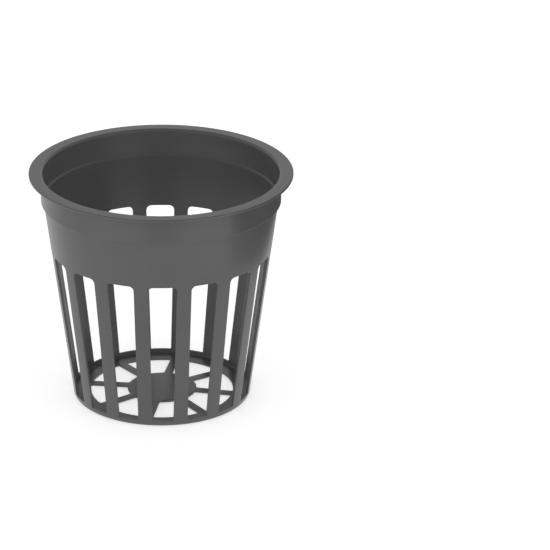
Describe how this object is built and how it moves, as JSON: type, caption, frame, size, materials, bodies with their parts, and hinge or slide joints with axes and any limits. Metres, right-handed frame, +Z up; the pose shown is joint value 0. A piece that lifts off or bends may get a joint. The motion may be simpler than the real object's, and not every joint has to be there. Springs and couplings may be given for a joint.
{
  "type": "hydroponic net pot",
  "caption": "Tapered slotted basket with a straight collar, flat hanging flange and open spoked floor, for growing plants in water.",
  "frame": {"origin": "centre of the standing ring's underside, on the ground plane", "axes": "+Z up the pot's axis towards the mouth, -Y through the middle of one wall slot, +X to the right of it"},
  "size_m": [0.095, 0.095, 0.086],
  "materials": {
    "pot_plastic": "dark neutral grey polypropylene with a satin moulded surface"
  },
  "bodies": {
    "root": {"net_pot": "pot_plastic"}
  },
  "joints": []
}
